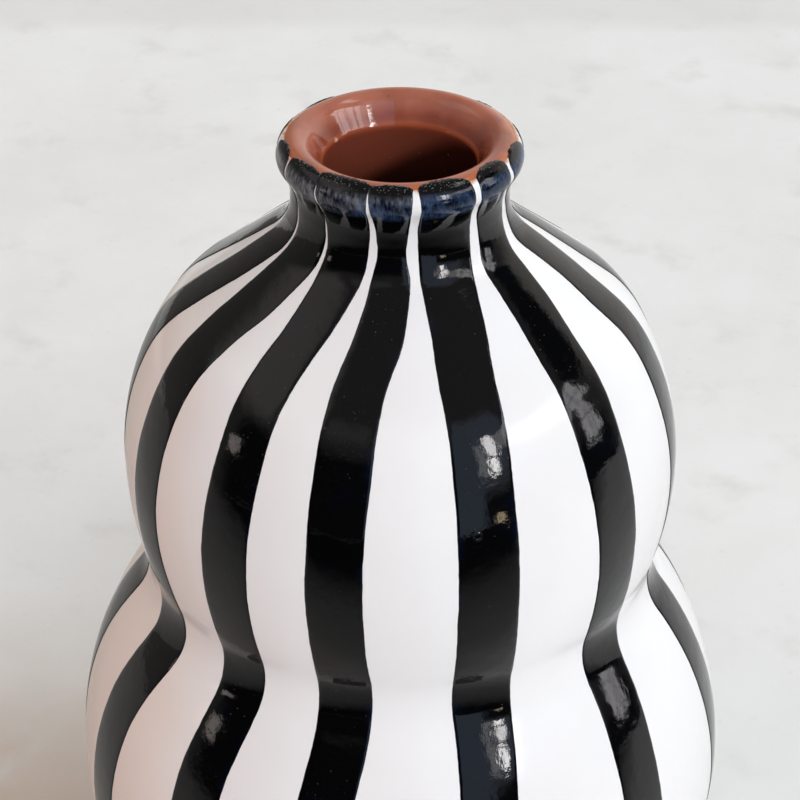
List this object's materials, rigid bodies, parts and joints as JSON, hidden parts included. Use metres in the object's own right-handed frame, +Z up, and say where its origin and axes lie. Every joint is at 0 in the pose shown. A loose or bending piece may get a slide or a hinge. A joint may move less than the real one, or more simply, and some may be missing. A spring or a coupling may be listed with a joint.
{
  "type": "gourd vase",
  "caption": "Thrown double-gourd vase with a small upper bulb on a larger one, a short flared neck, a rolled rim and painted upright bands.",
  "frame": {"origin": "middle of the foot ring, on the surface that the vase stands on", "axes": "+Z up the axis of the vase, out of the mouth; -Y towards the side that the picture shows"},
  "size_m": [0.1435, 0.1435, 0.2063],
  "materials": {
    "red_clay": "bare fired red clay",
    "clear_glaze": "clear gloss glaze over red clay",
    "white_glaze": "opaque white gloss glaze",
    "black_glaze": "blue-black gloss glaze, brushed on"
  },
  "bodies": {
    "root": {"lower_bulb": "red_clay", "upper_bulb": "red_clay", "neck_collar": "red_clay", "inner_glaze": "clear_glaze", "white_glaze": "white_glaze", "black_band_01": "black_glaze", "black_band_02": "black_glaze", "black_band_03": "black_glaze", "black_band_04": "black_glaze", "black_band_05": "black_glaze", "black_band_06": "black_glaze", "black_band_07": "black_glaze", "black_band_08": "black_glaze", "black_band_09": "black_glaze", "black_band_10": "black_glaze", "black_band_11": "black_glaze", "black_band_12": "black_glaze", "black_band_13": "black_glaze"}
  },
  "joints": []
}
